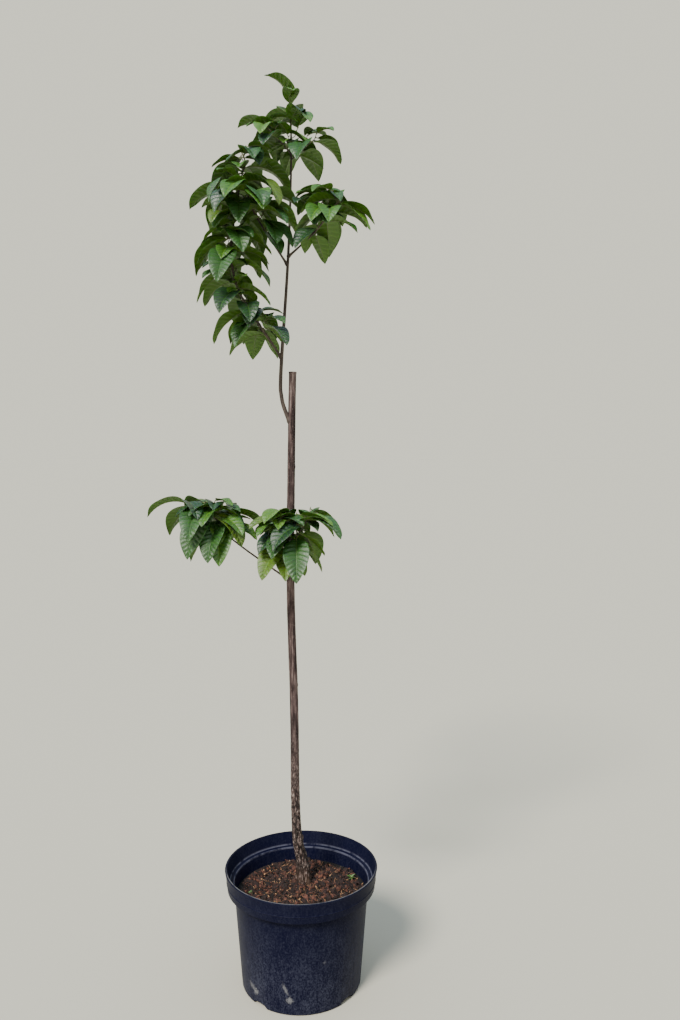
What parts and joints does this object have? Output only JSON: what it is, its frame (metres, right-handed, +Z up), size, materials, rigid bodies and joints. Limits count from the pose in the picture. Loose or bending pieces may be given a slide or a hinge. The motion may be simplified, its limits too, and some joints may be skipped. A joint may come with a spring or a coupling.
{
  "type": "potted date plum tree",
  "caption": "Young date plum tree: a slim headed-back trunk with a new leader and side shoots of large drooping leaves, rooted in a round black nursery pot.",
  "frame": {"origin": "middle of the pot's flat underside, on the ground", "axes": "+Z up along the trunk, +X to the right and +Y to the back when the low left shoot is at the left"},
  "size_m": [0.4439, 0.3239, 1.7911],
  "materials": {
    "pot_plastic": "dusty black with a blue cast",
    "soil": "loose brown bark and fibre chips",
    "bark": "grey-brown bark, cracked near the ground",
    "young_bark": "smooth young bark",
    "leaf": "glossy dark green above, paler below"
  },
  "bodies": {
    "root": {"pot": "pot_plastic", "soil": "soil", "trunk": "bark", "leader": "young_bark", "bough_left": "young_bark", "bough_centre": "young_bark", "bough_right": "young_bark", "bough_low_left": "young_bark", "bough_low_front": "young_bark", "foliage_top": "leaf", "foliage_left": "leaf", "foliage_centre": "leaf", "foliage_right": "leaf", "foliage_low_left": "leaf", "foliage_low_front": "leaf"}
  },
  "joints": []
}
